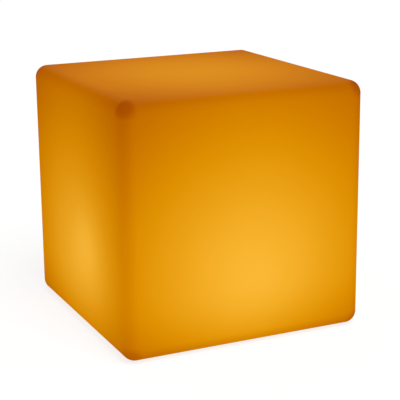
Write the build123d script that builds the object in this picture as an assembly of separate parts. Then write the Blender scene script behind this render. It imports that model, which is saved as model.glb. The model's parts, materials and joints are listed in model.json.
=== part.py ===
from build123d import *

import os
from math import cos, hypot, pi, radians, sin, tan

# A rechargeable LED cube light for outdoors: a hollow rotation-moulded cube with a lamp module that is
# bolted into a round recess in its underside. Millimetres, +Z up, origin at the middle of the base.

# ---- Shell ---------------------------------------------------------------------------------------
side = 400.0                # width and depth of the cube
shell_height = 392.0        # the moulding is a little lower than it is wide
edge_radius = 20.0          # roundness of every outer edge and corner
wall = 4.0                  # moulded wall
foot_stand = 3.0            # how far the feet lift the shell
recess_depth = 18.0
recess_draft = 4.0          # degrees by which the recess opens outwards
recess_lip = 4.0            # rounding of the recess's mouth
seat_width = 24.0           # flat ring at the recess's inner end that carries the lamp module
seat_thickness = 5.0
seat_corner = 2.0           # rounding between seat and recess wall
opening_edge = 1.5          # rounding of the seat's inner rim

# ---- Flange joint: inserts, gasket, screws -------------------------------------------------------
screw_count = 6
first_screw_angle = 90.0
screw_radius = 2.0
screw_length = 14.0
screw_play = 0.3            # radial room around a screw in a clearance hole
screw_end_room = 2.0        # room past the screw's tip
head_radius = 4.0
head_height = 2.4
head_play = 0.5
crown_share = 0.5           # share of a screw head's height that its bevelled crown takes
counterbore_depth = 2.8
insert_wall = 1.6
insert_length = 9.0
boss_wall = 4.4             # plastic around an insert
boss_cap = 3.0              # plastic past the screw's room
boss_taper = 1.0            # how much narrower a boss is at its top
insert_groove = 0.5         # depth and half width of the groove that keys an insert in
gasket_thickness = 2.0
gasket_margin = 2.0         # how far the gasket stops short of the seat's edges
push_fit = 0.05             # radial room of pieces that are pushed or moulded in

# ---- Feet ----------------------------------------------------------------------------------------
foot_radius = 14.0
foot_inset = 50.0           # of each foot's middle from the sides of the cube
foot_round = 1.2
tread_count = 3             # ring grooves in the face that a foot stands on
tread_pitch = 2.4
tread_inset = 2.6           # of the outer groove's middle from the foot's rim
tread_width = 1.2
tread_depth = 0.8
spigot_radius = 4.5
spigot_length = 6.0
socket_room = 0.5           # room past the spigot's end
socket_wall = 4.0
socket_cap = 3.0

# ---- Base plate and tub --------------------------------------------------------------------------
plate_gap = 3.0             # between the flange's rim and the recess wall
plate_thickness = 5.0
plate_round = 1.5
tub_gap = 4.0               # between the tub and the seat's opening
tub_room = 3.0              # between the tub and the corner of what it holds that reaches furthest
tub_wall = 2.5
tub_height = 44.0
rim_groove_place = 8.0      # from the screw heads inwards to the middle of the plate's ring groove
rim_groove_width = 1.6
rim_groove_depth = 0.8
well_length = 84.0          # long round-ended well around the controls
well_width = 32.0
well_depth = 1.5
well_round = 1.0            # rounding of the well's mouth
control_row = -20.0         # Y of the row of controls

# ---- Power button and its switch -----------------------------------------------------------------
button_place = -27.0        # X of the button
button_radius = 8.5
button_proud = 2.5          # how far it stands out of the well
button_gap = 0.5            # radial running gap
button_travel = 1.2
button_dish_depth = 0.8
button_dish_margin = 1.2    # flat rim around the dish
button_edge = 0.6
lift_gap = 0.3              # rest gap between the button's flange and the plate
button_flange_width = 2.0
button_flange_height = 1.5
collar_gap = 0.4
collar_wall = 2.0
collar_height = 6.0
stem_radius = 2.5
stem_length = 2.5
wiper_gap = 0.2             # between the wiper ring and the button
wiper_height = 1.4
wiper_land = 1.0            # plastic between the well's floor and the wiper's groove
wiper_bite = 1.4            # how deep the wiper's groove is
switch_width = 6.0
switch_height = 3.6
switch_bore_room = 0.8      # room past the pressed plunger
plunger_radius = 1.75
plunger_reach = 1.5         # plunger outside the switch
plunger_root = 0.8          # plunger inside the switch at rest
plunger_gap = 0.3

# ---- Charging socket and its plug ----------------------------------------------------------------
jack_place = 13.0           # X of the socket
jack_radius = 5.5
jack_play = 0.1
jack_flange_radius = 7.0
jack_flange_height = 1.5
jack_edge = 0.5
jack_seal_height = 0.8
jack_body_length = 12.5     # from the flange inwards
jack_bore_radius = 2.85
jack_bore_depth = 10.0
jack_pin_radius = 1.0
jack_pin_recess = 1.6
jack_pin_tail = 3.0
jack_nut_flats = 14.0
jack_nut_height = 2.5
contact_width = 2.0
contact_thickness = 0.5
contact_spread = 3.6        # distance of the side contacts from the socket's axis
contact_tail = 3.0
contact_root = 2.0
plug_gap = 0.3              # between the closed plug and the socket
plug_radius = 7.4
plug_thickness = 1.6
plug_edge = 0.5
plug_strap_width = 5.0
plug_strap_thickness = 1.2
plug_tab_reach = 3.0        # pull tab past the disc
plug_nub_radius = 2.5
plug_nub_tip_radius = 2.1
plug_nub_bore = 1.5
plug_nub_length = 2.6
hinge_reach = 14.0          # from the socket's axis to the bend of the strap
hinge_gap = 0.4             # split between strap and anchor at the bend
anchor_reach = 4.0          # from the bend to the anchor's stud
anchor_radius = 3.2
anchor_stem_radius = 1.5
anchor_barb_radius = 2.3
anchor_barb_height = 2.5

# ---- Charging indicator --------------------------------------------------------------------------
pipe_place = -7.0           # X of the light pipe
pipe_radius = 1.5
pipe_flange_radius = 2.4
pipe_flange_height = 1.0
pipe_lamp_gap = 0.5
lamp_length = 2.4
lamp_width = 1.4
lamp_height = 0.9

# ---- Control board -------------------------------------------------------------------------------
board_width = 50.0
board_depth = 48.0
board_place = (-25.0, -18.0)
board_thickness = 1.6
board_hole_inset = 4.0
post_radius = 3.2
small_screw_radius = 1.2
small_head_radius = 2.3
small_head_height = 1.8
small_screw_length = 7.0
post_hole_room = 1.0
chip_sizes = ((10.0, 4.0, 1.5), (6.0, 5.0, 2.2), (6.0, 5.0, 2.2), (6.0, 5.0, 2.2), (6.0, 6.0, 3.0))
chip_places = ((-2.0, -4.0), (-15.0, -16.0), (-6.0, -16.0), (3.0, -16.0), (10.0, 6.0))
capacitor_radius = 3.2
capacitor_height = 7.0
capacitor_place = (-17.0, 0.0)
header_length = 8.0
header_width = 6.0
header_height = 6.0
battery_header = (11.0, 16.0)   # places on the board, from its middle
light_header = (-11.0, 13.0)
charge_header = (19.0, -9.0)

# ---- Battery -------------------------------------------------------------------------------------
cell_radius = 9.2
cell_length = 65.0
cell_edge = 0.8
cell_cap_radius = 2.9
cell_cap_height = 1.0
cell_pitch = 18.8
cell_room = 0.15
pack_gap = 2.7              # between the control board and the nearest post of the pack's strap
cradle_floor = 2.0
cradle_side = 1.5
cradle_end = 2.0
cradle_end_room = 1.2       # room for the tabs at each end
cradle_end_height = 18.0
strap_width = 12.0
strap_cover = 2.0
strap_round = 4.6
strap_ear = 7.5
strap_ear_thickness = 2.5
tab_thickness = 0.3
tab_width = 7.0
tab_overhang = 5.0
tab_room = 0.3
guard_board_size = (16.0, 25.0)
guard_board_inset = 12.5    # of the protection board's middle from the end of the cells
guard_board_thickness = 1.0
guard_chip_size = (5.0, 4.0, 1.2)

# ---- Light tray, light board and dome ------------------------------------------------------------
tray_seal_height = 1.2
tray_thickness = 3.0
tray_round = 1.0
tray_hole_radius = 9.0
tower_radius = 4.0
tower_inset = 5.5           # of the tower's axis from the tub's inner wall
tower_angle = 25.0          # from the X axis
light_board_gap = 6.0       # between the light board and the dome
light_board_thickness = 1.6
light_screw_inset = 4.0     # of the screws from the light board's edge
light_screw_count = 4
first_light_screw_angle = 45.0
light_screw_length = 4.4
led_size = 5.0
led_height = 1.5
led_inset = 12.0            # of the outer ring of lights from the light board's edge
led_ring_step = 17.0        # from the outer ring of lights to the inner one
led_counts = (16, 8)        # lights on the outer and on the inner ring
light_socket_length = 10.0
light_socket_width = 6.0
light_socket_height = 7.0
receiver_width = 6.0
receiver_depth = 4.6
receiver_height = 6.0
receiver_lens = 2.0
dome_screw_gap = 0.2        # between the dome's seal and the heads of its screws
dome_height = 26.0
dome_wall = 2.0
dome_flange_height = 2.5
dome_flange_gap = 0.5       # the dome's flange ends this far inside the tub's outer wall
dome_seal_height = 1.2
dome_seal_width = 3.0
dome_screw_radius = 1.5
dome_head_radius = 2.8
dome_head_height = 2.0
dome_screw_length = 16.0

# ---- Inner leads ---------------------------------------------------------------------------------
lead_radius = 0.75
light_lead_radius = 1.6
lead_spacing = 3.0          # between the red and the black lead of a pair
lead_rise = 5.0
lead_crown = 9.0
lead_shoulder = 0.22        # share of the way across at which a lead reaches its crown
lead_bend_share = 0.45      # share of a run that the arc at its end takes

# ---- Levels and radii that follow from the sizes above -------------------------------------------
cradle_length = cell_length + 2 * (cradle_end_room + cradle_end)
cradle_width = cell_pitch + 2 * (cell_radius + cell_room + cradle_side)
guard_board_place = cell_length / 2 - guard_board_inset
board_edge = board_place[1] + board_depth / 2
pack_edge = board_edge + pack_gap + post_radius + strap_ear / 2
pack_place = pack_edge + cradle_width / 2
pack_reach = hypot(cradle_length / 2, pack_edge + cradle_width)
board_reach = hypot(abs(board_place[0]) + board_width / 2, abs(board_place[1]) + board_depth / 2)

tub_inner = max(pack_reach, board_reach) + tub_room
tub_radius = tub_inner + tub_wall
opening_radius = tub_radius + tub_gap
recess_radius = opening_radius + seat_width
screw_circle = opening_radius + seat_width / 2
insert_radius = screw_radius + insert_wall
boss_radius = insert_radius + boss_wall
plate_radius = recess_radius - plate_gap
foot_place = side / 2 - foot_inset

shell_low = foot_stand
seat_low = shell_low + recess_depth
seat_high = seat_low + seat_thickness
plate_high = seat_low - gasket_thickness
plate_low = plate_high - plate_thickness
well_floor = plate_low + well_depth
tub_high = plate_high + tub_height

button_face = well_floor - button_proud
button_flange_low = plate_high + lift_gap
button_flange_high = button_flange_low + button_flange_height
button_flange_radius = button_radius + button_flange_width
stem_high = button_flange_high + stem_length
switch_low = stem_high + plunger_reach
board_low = switch_low + switch_height
board_high = board_low + board_thickness
wiper_low = well_floor + wiper_land

jack_flange_high = well_floor - jack_seal_height
jack_mouth = jack_flange_high - jack_flange_height
jack_back = jack_flange_high + jack_body_length
plug_high = jack_mouth - plug_gap
hinge_level = plug_high - plug_strap_thickness
hinge_place = jack_place + hinge_reach
anchor_place = hinge_place + anchor_reach

cell_axis = plate_high + cradle_floor + cell_radius + cell_room
cell_rows = (pack_place - cell_pitch / 2, pack_place + cell_pitch / 2)
strap_high = cell_axis + cell_radius + cell_room + strap_cover
strap_screw_rows = (pack_edge - strap_ear / 2, pack_edge + cradle_width + strap_ear / 2)

tower_circle = tub_inner - tower_inset
dome_radius = tower_circle - dome_head_radius - dome_screw_gap - dome_seal_width
light_board_radius = dome_radius - dome_wall - light_board_gap
light_screw_circle = light_board_radius - light_screw_inset
led_radii = (light_board_radius - led_inset, light_board_radius - led_inset - led_ring_step)
tray_low = tub_high + tray_seal_height
tray_high = tray_low + tray_thickness
light_board_high = tray_high + light_board_thickness
light_socket_low = tray_high - light_socket_height
dome_flange_low = tray_high + dome_seal_height
dome_flange_high = dome_flange_low + dome_flange_height

FLOOR = (Align.CENTER, Align.CENTER, Align.MIN)
OVERCUT = 1.0               # how far a cutting body reaches past what it cuts
SAME = 0.01                 # edges this close to a level or a radius count as being at it


# ---- Small helpers -------------------------------------------------------------------------------
def disc(radius, low, high, place=(0.0, 0.0)):
    """Upright round bar from one level to another."""
    return Pos(place[0], place[1], low) * Cylinder(radius, high - low, align=FLOOR)


def ring(outer, inner, low, high, place=(0.0, 0.0)):
    """Upright tube."""
    return disc(outer, low, high, place) - disc(inner, low - OVERCUT, high + OVERCUT, place)


def block(width, depth, low, high, place=(0.0, 0.0)):
    """Upright bar of rectangular section."""
    return Pos(place[0], place[1], low) * Box(width, depth, high - low, align=FLOOR)


def taper(low_radius, high_radius, low, high, place=(0.0, 0.0)):
    """Upright cone frustum."""
    return Pos(place[0], place[1], low) * Cone(low_radius, high_radius, high - low, align=FLOOR)


def turned(outline):
    """Solid of revolution about Z from points given as (radius, level)."""
    return revolve(Plane.XZ * Polygon(*outline, align=None), Axis.Z)


def around(count, radius, start=0.0):
    """Places evenly spaced on a circle about Z, from an angle in degrees."""
    turns = [radians(start) + 2 * pi * step / count for step in range(count)]
    return [(radius * cos(turn), radius * sin(turn)) for turn in turns]


def corners(half_x, half_y, middle=(0.0, 0.0)):
    """The four corners of a rectangle about a middle point."""
    signs = ((-1, -1), (1, -1), (1, 1), (-1, 1))
    return [(middle[0] + sx * half_x, middle[1] + sy * half_y) for sx, sy in signs]


def rounds_at(solid, radius, level):
    """The horizontal circular edges of one radius at one level."""
    flat = solid.edges().filter_by(GeomType.CIRCLE).filter_by_position(Axis.Z, level - SAME, level + SAME)
    return [edge for edge in flat if abs(edge.radius - radius) < SAME]


def group(solids):
    """Separate like pieces in one node."""
    return Compound(children=list(solids))


def screw(head, head_tall, shank, length, seat, place, upwards):
    """Screw with a bevelled head that sits at a level and a shank that runs up or down from it."""
    way = 1 if upwards else -1
    levels = sorted((seat, seat - way * head_tall))
    shank_levels = sorted((seat, seat + way * length))
    crown = disc(head, *levels, place)
    outer = levels[0] if upwards else levels[1]
    crown = chamfer(rounds_at(crown, head, outer), crown_share * head_tall)
    return crown + disc(shank, *shank_levels, place)


# ---- Shell and what is fixed to it ---------------------------------------------------------------
def rounded_cube(width, height, radius, low):
    """Cube with every edge and corner rounded."""
    return fillet(block(width, width, low, low + height).edges(), radius)


def foot_places():
    return corners(foot_place, foot_place)


def flange_screw_places():
    return around(screw_count, screw_circle, first_screw_angle)


def cube_shell():
    """Hollow moulding: even wall all round, drafted recess, seat, insert bosses and foot sockets."""
    lean = recess_depth * tan(radians(recess_draft))
    mouth_radius = recess_radius + lean
    outside = rounded_cube(side, shell_height, edge_radius, shell_low)
    hollow = rounded_cube(side - 2 * wall, shell_height - 2 * wall, edge_radius - wall, shell_low + wall)
    recess_wall = turned([
        (opening_radius, seat_low),
        (recess_radius, seat_low),
        (mouth_radius, shell_low),
        (mouth_radius + wall, shell_low),
        (recess_radius + wall, seat_high),
        (opening_radius, seat_high),
    ])
    recess = turned([(0, shell_low), (mouth_radius, shell_low), (recess_radius, seat_low), (0, seat_low)])
    shell = outside - hollow - recess + recess_wall
    boss_high = seat_low + insert_length + screw_end_room + boss_cap
    for place in flange_screw_places():
        shell += taper(boss_radius, boss_radius - boss_taper, seat_low, boss_high, place)
    socket_high = shell_low + spigot_length + socket_room
    socket_radius = spigot_radius + push_fit
    for place in foot_places():
        outer = socket_radius + socket_wall
        shell += taper(outer, outer - boss_taper, shell_low, socket_high + socket_cap, place)
    shell -= disc(opening_radius, seat_low - OVERCUT, seat_high + OVERCUT)
    for place in flange_screw_places():
        shell -= disc(insert_radius + push_fit, seat_low - OVERCUT, seat_low + insert_length, place)
        shell -= disc(screw_radius + screw_play, seat_low, seat_low + insert_length + screw_end_room, place)
    for place in foot_places():
        shell -= disc(socket_radius, shell_low - OVERCUT, socket_high, place)
    shell = fillet(rounds_at(shell, mouth_radius, shell_low), min(recess_lip, wall))
    shell = fillet(rounds_at(shell, recess_radius, seat_low), seat_corner)
    return fillet(rounds_at(shell, opening_radius, seat_low), opening_edge)


def screw_inserts():
    """Brass inserts with a turned groove that keys them into the bosses."""
    middle = seat_low + insert_length / 2
    pieces = []
    for place in flange_screw_places():
        insert = ring(insert_radius, screw_radius + push_fit, seat_low, seat_low + insert_length, place)
        insert -= ring(insert_radius + OVERCUT, insert_radius - insert_groove,
                       middle - insert_groove, middle + insert_groove, place)
        pieces.append(insert)
    return group(pieces)


def flange_gasket():
    gasket = ring(plate_radius - gasket_margin, opening_radius + gasket_margin, plate_high, seat_low)
    for place in flange_screw_places():
        gasket -= disc(screw_radius + screw_play, plate_high - OVERCUT, seat_low + OVERCUT, place)
    return gasket


def flange_screws():
    seat = plate_low + counterbore_depth
    return group(
        screw(head_radius, head_height, screw_radius, screw_length, seat, place, True)
        for place in flange_screw_places()
    )


def rubber_foot(place):
    """Round pad with a rounded rim, ring grooves as its tread, and a spigot for the socket in the shell."""
    pad = disc(foot_radius, 0.0, foot_stand, place)
    pad = fillet(rounds_at(pad, foot_radius, 0.0), foot_round)
    for number in range(tread_count):
        middle = foot_radius - tread_inset - number * tread_pitch
        pad -= ring(middle + tread_width / 2, middle - tread_width / 2, -OVERCUT, tread_depth, place)
    return pad + disc(spigot_radius, foot_stand, foot_stand + spigot_length, place)


# ---- Base plate ----------------------------------------------------------------------------------
def tower_places():
    turns = (tower_angle, 180.0 - tower_angle, 180.0 + tower_angle, -tower_angle)
    return [(tower_circle * cos(radians(turn)), tower_circle * sin(radians(turn))) for turn in turns]


def board_post_places():
    return corners(board_width / 2 - board_hole_inset, board_depth / 2 - board_hole_inset, board_place)


def strap_post_places():
    return [(0.0, row) for row in strap_screw_rows]


def drilled_post(radius, low, high, hole_radius, hole_depth, place):
    """Screw post with a blind hole in its top."""
    return disc(radius, low, high, place) - disc(hole_radius, high - hole_depth, high + OVERCUT, place)


def plate_posts():
    """Posts and towers that stand on the plate inside the tub."""
    small_hole = small_screw_radius + push_fit
    small_depth = small_screw_length + post_hole_room
    posts = [
        drilled_post(post_radius, plate_high, board_low, small_hole, small_depth - board_thickness, place)
        for place in board_post_places()
    ]
    posts += [
        drilled_post(post_radius, plate_high, cell_axis, small_hole, small_depth - strap_ear_thickness, place)
        for place in strap_post_places()
    ]
    dome_hole = dome_screw_radius + push_fit
    dome_depth = dome_screw_length - (dome_flange_high - tray_low) + post_hole_room
    posts += [
        drilled_post(tower_radius, plate_high, tray_low, dome_hole, dome_depth, place)
        for place in tower_places()
    ]
    return posts


def controls_cut():
    """Everything that is cut from the plate for the button, the socket, its anchor and the light pipe."""
    button = (button_place, control_row)
    wiper_radius = button_radius + button_gap + wiper_bite
    well = Pos(0, control_row, plate_low - OVERCUT) * SlotOverall(well_length, well_width)
    cuts = [
        extrude(well, well_depth + OVERCUT),
        disc(button_radius + button_gap, plate_low - OVERCUT, plate_high + OVERCUT, button),
        disc(wiper_radius, wiper_low, wiper_low + wiper_height, button),
        disc(jack_radius + jack_play, plate_low - OVERCUT, plate_high + OVERCUT, (jack_place, control_row)),
        disc(anchor_stem_radius + push_fit, plate_low, plate_high + OVERCUT, (anchor_place, control_row)),
        disc(pipe_radius + push_fit, plate_low, plate_high + OVERCUT, (pipe_place, control_row)),
    ]
    return cuts


def base_plate():
    """Moulded floor of the lamp module: bolting flange, tub wall, control well, posts and towers."""
    plate = disc(plate_radius, plate_low, plate_high)
    plate = fillet(rounds_at(plate, plate_radius, plate_low), plate_round)
    plate += ring(tub_radius, tub_inner, plate_high, tub_high)
    collar_inner = button_flange_radius + collar_gap
    button = (button_place, control_row)
    plate += ring(collar_inner + collar_wall, collar_inner, plate_high, plate_high + collar_height, button)
    for post in plate_posts():
        plate += post
    for cut in controls_cut():
        plate -= cut
    mouth = plate.faces().sort_by(Axis.Z)[0].inner_wires().sort_by(lambda wire: wire.length)[-1]
    plate = fillet(mouth.edges(), well_round)
    groove_middle = screw_circle - head_radius - rim_groove_place
    groove_half = rim_groove_width / 2
    plate -= ring(groove_middle + groove_half, groove_middle - groove_half,
                  plate_low - OVERCUT, plate_low + rim_groove_depth)
    for place in flange_screw_places():
        plate -= disc(screw_radius + screw_play, plate_low - OVERCUT, plate_high + OVERCUT, place)
        plate -= disc(head_radius + head_play, plate_low - OVERCUT, plate_low + counterbore_depth, place)
    return plate


# ---- Button and switch ---------------------------------------------------------------------------
def power_button():
    """Push button with a dished face, a keeper flange behind the plate and a stem for the switch."""
    place = (button_place, control_row)
    cap = disc(button_radius, button_face, button_flange_low, place)
    cap = fillet(rounds_at(cap, button_radius, button_face), button_edge)
    rim = button_radius - button_dish_margin
    dish_radius = (rim ** 2 + button_dish_depth ** 2) / (2 * button_dish_depth)
    dish = Pos(*place, button_face + button_dish_depth - dish_radius) * Sphere(dish_radius)
    cap -= dish
    cap += disc(button_flange_radius, button_flange_low, button_flange_high, place)
    return cap + disc(stem_radius, button_flange_high, stem_high, place)


def button_seal():
    """Wiper ring in its groove around the button."""
    place = (button_place, control_row)
    outer = button_radius + button_gap + wiper_bite - push_fit
    return ring(outer, button_radius + wiper_gap, wiper_low, wiper_low + wiper_height, place)


def switch_plunger():
    place = (button_place, control_row)
    return disc(plunger_radius, stem_high, switch_low + plunger_root, place)


def switch_body():
    """Tactile switch under the board, with the bore that its plunger slides in."""
    place = (button_place, control_row)
    bore = plunger_root + button_travel + switch_bore_room
    body = block(switch_width, switch_width, switch_low, board_low, place)
    return body - disc(plunger_radius + plunger_gap, switch_low - OVERCUT, switch_low + bore, place)


# ---- Charging indicator --------------------------------------------------------------------------
def light_pipe():
    place = (pipe_place, control_row)
    top = board_low - lamp_height - pipe_lamp_gap
    pipe = disc(pipe_radius, well_floor, top, place)
    return pipe + disc(pipe_flange_radius, plate_high, plate_high + pipe_flange_height, place)


def status_led():
    return block(lamp_length, lamp_width, board_low - lamp_height, board_low, (pipe_place, control_row))


# ---- Charging socket -----------------------------------------------------------------------------
def contact_bars(room):
    """The two side contacts of the socket, or with some room the slots that hold them."""
    bars = []
    for offset in (-contact_spread, contact_spread):
        place = (jack_place, control_row + offset)
        bars.append(block(contact_width + room, contact_thickness + room,
                          jack_back - contact_root, jack_back + contact_tail, place))
    return bars


def charge_jack():
    """Socket body: flange outside, barrel through the plate, bore for the charging plug."""
    place = (jack_place, control_row)
    jack = disc(jack_flange_radius, jack_mouth, jack_flange_high, place)
    jack = fillet(rounds_at(jack, jack_flange_radius, jack_mouth), jack_edge)
    jack += disc(jack_radius, jack_flange_high, jack_back, place)
    jack -= disc(jack_bore_radius, jack_mouth - OVERCUT, jack_mouth + jack_bore_depth, place)
    jack -= disc(jack_pin_radius + push_fit, jack_mouth, jack_back + OVERCUT, place)
    for slot in contact_bars(2 * push_fit):
        jack -= slot
    return jack


def charge_jack_pin():
    place = (jack_place, control_row)
    return disc(jack_pin_radius, jack_mouth + jack_pin_recess, jack_back + jack_pin_tail, place)


def jack_seal():
    place = (jack_place, control_row)
    return ring(jack_flange_radius, jack_radius + jack_play, jack_flange_high, well_floor, place)


def jack_nut():
    """Hexagon nut that clamps the socket from inside."""
    nut = extrude(RegularPolygon(jack_nut_flats / 2, 6, major_radius=False), jack_nut_height)
    nut -= disc(jack_radius + push_fit, -OVERCUT, jack_nut_height + OVERCUT)
    return Pos(jack_place, control_row, plate_high) * nut


def jack_plug():
    """Silicone plug: disc, tapered hollow nub, pull tab and strap up to the bend."""
    place = (jack_place, control_row)
    plug_low = plug_high - plug_thickness
    cap = disc(plug_radius, plug_low, plug_high, place)
    cap = fillet(rounds_at(cap, plug_radius, plug_low), plug_edge)
    strap_low = plug_high - plug_strap_thickness
    strap_end = hinge_place - hinge_gap / 2
    cap += block(strap_end - jack_place, plug_strap_width, strap_low, plug_high,
                 ((jack_place + strap_end) / 2, control_row))
    tab_end = jack_place - plug_radius - plug_tab_reach
    cap += block(jack_place - tab_end, plug_strap_width, strap_low, plug_high,
                 ((jack_place + tab_end) / 2, control_row))
    cap += taper(plug_nub_radius, plug_nub_tip_radius, plug_high, plug_high + plug_nub_length, place)
    return cap - disc(plug_nub_bore, plug_high, plug_high + plug_nub_length + OVERCUT, place)


def plug_anchor():
    """Fixed end of the plug's strap: short tab, spacer, stem through the plate and barb behind it."""
    place = (anchor_place, control_row)
    tab_start = hinge_place + hinge_gap / 2
    anchor = block(anchor_place - tab_start, plug_strap_width, hinge_level, plug_high,
                   ((anchor_place + tab_start) / 2, control_row))
    anchor += disc(anchor_radius, hinge_level, well_floor, place)
    anchor += disc(anchor_stem_radius, well_floor, plate_high, place)
    barb_high = plate_high + anchor_barb_height
    return anchor + taper(anchor_barb_radius, anchor_stem_radius, plate_high, barb_high, place)


# ---- Control board -------------------------------------------------------------------------------
def on_board(place):
    """A place given from the board's middle."""
    return board_place[0] + place[0], board_place[1] + place[1]


def control_board():
    board = block(board_width, board_depth, board_low, board_high, board_place)
    for place in board_post_places():
        board -= disc(small_screw_radius + screw_play, board_low - OVERCUT, board_high + OVERCUT, place)
    return board


def small_screw(length, seat, place):
    return screw(small_head_radius, small_head_height, small_screw_radius, length, seat, place, False)


def board_screws():
    return group(small_screw(small_screw_length, board_high, place) for place in board_post_places())


def board_chips():
    """Controller, three transistors, coil and capacitor on the board."""
    pieces = [
        block(size[0], size[1], board_high, board_high + size[2], on_board(place))
        for size, place in zip(chip_sizes, chip_places)
    ]
    capacitor_top = board_high + capacitor_height
    pieces.append(disc(capacitor_radius, board_high, capacitor_top, on_board(capacitor_place)))
    return group(pieces)


def board_sockets():
    return group(
        block(header_length, header_width, board_high, board_high + header_height, on_board(place))
        for place in (battery_header, light_header, charge_header)
    )


# ---- Battery -------------------------------------------------------------------------------------
def lying_bar(radius, start, end, row):
    """Round bar along X at the height of the cells."""
    return Pos(start, row, cell_axis) * Rot(0, 90, 0) * Cylinder(radius, end - start, align=FLOOR)


def battery_cell(row):
    """Round cell with rolled edges and a raised positive cap."""
    half = cell_length / 2
    can = lying_bar(cell_radius, -half, half - cell_cap_height, row)
    can = fillet(can.edges().filter_by(GeomType.CIRCLE), cell_edge)
    return can + lying_bar(cell_cap_radius, half - cell_cap_height, half, row)


def battery_cradle():
    """Tray with a half-round trough for each cell and a wall at each end."""
    cradle = block(cradle_length, cradle_width, plate_high, cell_axis, (0.0, pack_place))
    end_high = plate_high + cradle_end_height
    for end in (-1, 1):
        middle = end * (cradle_length - cradle_end) / 2
        cradle += block(cradle_end, cradle_width, plate_high, end_high, (middle, pack_place))
    trough = cell_length / 2 + cradle_end_room
    for row in cell_rows:
        cradle -= lying_bar(cell_radius + cell_room, -trough, trough, row)
    tab_low = cell_axis - tab_width / 2 - tab_room
    for end in (-1, 1):
        middle = end * (cell_length + cradle_end_room) / 2
        cradle -= block(cradle_end_room, cell_pitch, tab_low, cell_axis + OVERCUT, (middle, pack_place))
    return cradle


def battery_strap():
    """Saddle over both cells, with an ear and a screw hole on each side."""
    strap = block(strap_width, cradle_width, cell_axis, strap_high, (0.0, pack_place))
    strap = fillet(strap.edges().filter_by(Axis.X).group_by(Axis.Z)[-1], strap_round)
    for row in strap_screw_rows:
        strap += block(strap_width, strap_ear, cell_axis, cell_axis + strap_ear_thickness, (0.0, row))
    for row in cell_rows:
        strap -= lying_bar(cell_radius + cell_room, -strap_width, strap_width, row)
    for place in strap_post_places():
        strap -= disc(small_screw_radius + screw_play, cell_axis - OVERCUT, strap_high, place)
    return strap


def strap_screws():
    seat = cell_axis + strap_ear_thickness
    return group(small_screw(small_screw_length, seat, place) for place in strap_post_places())


def battery_tabs():
    """Nickel strips that join the cells at both ends."""
    reach = cell_pitch + 2 * tab_overhang
    middle = (cell_length + tab_thickness) / 2
    low = cell_axis - tab_width / 2
    return group(
        block(tab_thickness, reach, low, low + tab_width, (end * middle, pack_place)) for end in (-1, 1)
    )


def protection_board():
    """Small circuit board that lies on the crowns of the cells, with its two chips."""
    low = cell_axis + cell_radius
    top = low + guard_board_thickness
    board = block(*guard_board_size, low, top, (guard_board_place, pack_place))
    for offset in (-guard_chip_size[1], guard_chip_size[1]):
        place = (guard_board_place, pack_place + offset)
        board += block(guard_chip_size[0], guard_chip_size[1], top, top + guard_chip_size[2], place)
    return board


# ---- Light tray, light board, dome ---------------------------------------------------------------
def tray_seal():
    return ring(tub_radius, tub_inner, tub_high, tray_low)


def light_tray():
    """Cover of the tub that carries the light board."""
    tray = disc(tub_radius, tray_low, tray_high)
    tray = fillet(rounds_at(tray, tub_radius, tray_high), tray_round)
    tray -= disc(tray_hole_radius, tray_low - OVERCUT, tray_high + OVERCUT)
    for place in tower_places():
        tray -= disc(dome_screw_radius + screw_play, tray_low - OVERCUT, tray_high + OVERCUT, place)
    for place in light_screw_places():
        tray -= disc(small_screw_radius + push_fit, tray_low - OVERCUT, tray_high + OVERCUT, place)
    return tray


def light_screw_places():
    return around(light_screw_count, light_screw_circle, first_light_screw_angle)


def led_board():
    """Round aluminium board."""
    board = disc(light_board_radius, tray_high, light_board_high)
    for place in light_screw_places():
        board -= disc(small_screw_radius + screw_play, tray_high - OVERCUT, light_board_high + OVERCUT, place)
    return board


def led_board_screws():
    return group(small_screw(light_screw_length, light_board_high, place) for place in light_screw_places())


def led_chips():
    """Surface-mounted lights in two rings."""
    pieces = []
    for count, radius in zip(led_counts, led_radii):
        for place in around(count, radius, 180.0 / count):
            pieces.append(block(led_size, led_size, light_board_high, light_board_high + led_height, place))
    return group(pieces)


def led_socket():
    """Connector under the light board, in the tray's hole."""
    return block(light_socket_length, light_socket_width, light_socket_low, tray_high)


def ir_receiver():
    """Remote-control receiver with its round lens, in the middle of the light board."""
    top = light_board_high + receiver_height
    body = block(receiver_width, receiver_depth, light_board_high, top)
    return body + Pos(0, 0, top) * Sphere(receiver_lens)


def dome_seal():
    return ring(dome_radius + dome_seal_width, dome_radius, tray_high, dome_flange_low)


def diffuser_dome():
    """Frosted cap: spherical wall of even thickness on a flat bolting flange."""
    outer_radius = (dome_radius ** 2 + dome_height ** 2) / (2 * dome_height)
    middle = dome_flange_high + dome_height - outer_radius
    cap = Pos(0, 0, middle) * (Sphere(outer_radius) - Sphere(outer_radius - dome_wall))
    cap &= disc(outer_radius, dome_flange_high, dome_flange_high + dome_height + OVERCUT)
    flange = ring(tub_radius - dome_flange_gap, dome_radius - dome_wall, dome_flange_low, dome_flange_high)
    hole_radius = dome_screw_radius + screw_play
    for place in tower_places():
        flange -= disc(hole_radius, dome_flange_low - OVERCUT, dome_flange_high + OVERCUT, place)
    return cap + flange


def dome_screws():
    return group(
        screw(dome_head_radius, dome_head_height, dome_screw_radius, dome_screw_length,
              dome_flange_high, place, False)
        for place in tower_places()
    )


# ---- Inner leads ---------------------------------------------------------------------------------
def arched_route(start, end):
    """Up out of one terminal, over in a low arch and down onto another."""
    start = Vector(*start)
    end = Vector(*end)
    across = Vector(end.X - start.X, end.Y - start.Y, 0)
    rise = Vector(0, 0, lead_rise)
    crown = Vector(0, 0, lead_crown)
    shoulder = across * lead_shoulder
    return [start, start + rise, start + shoulder + crown, end - shoulder + crown, end + rise, end]


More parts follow.
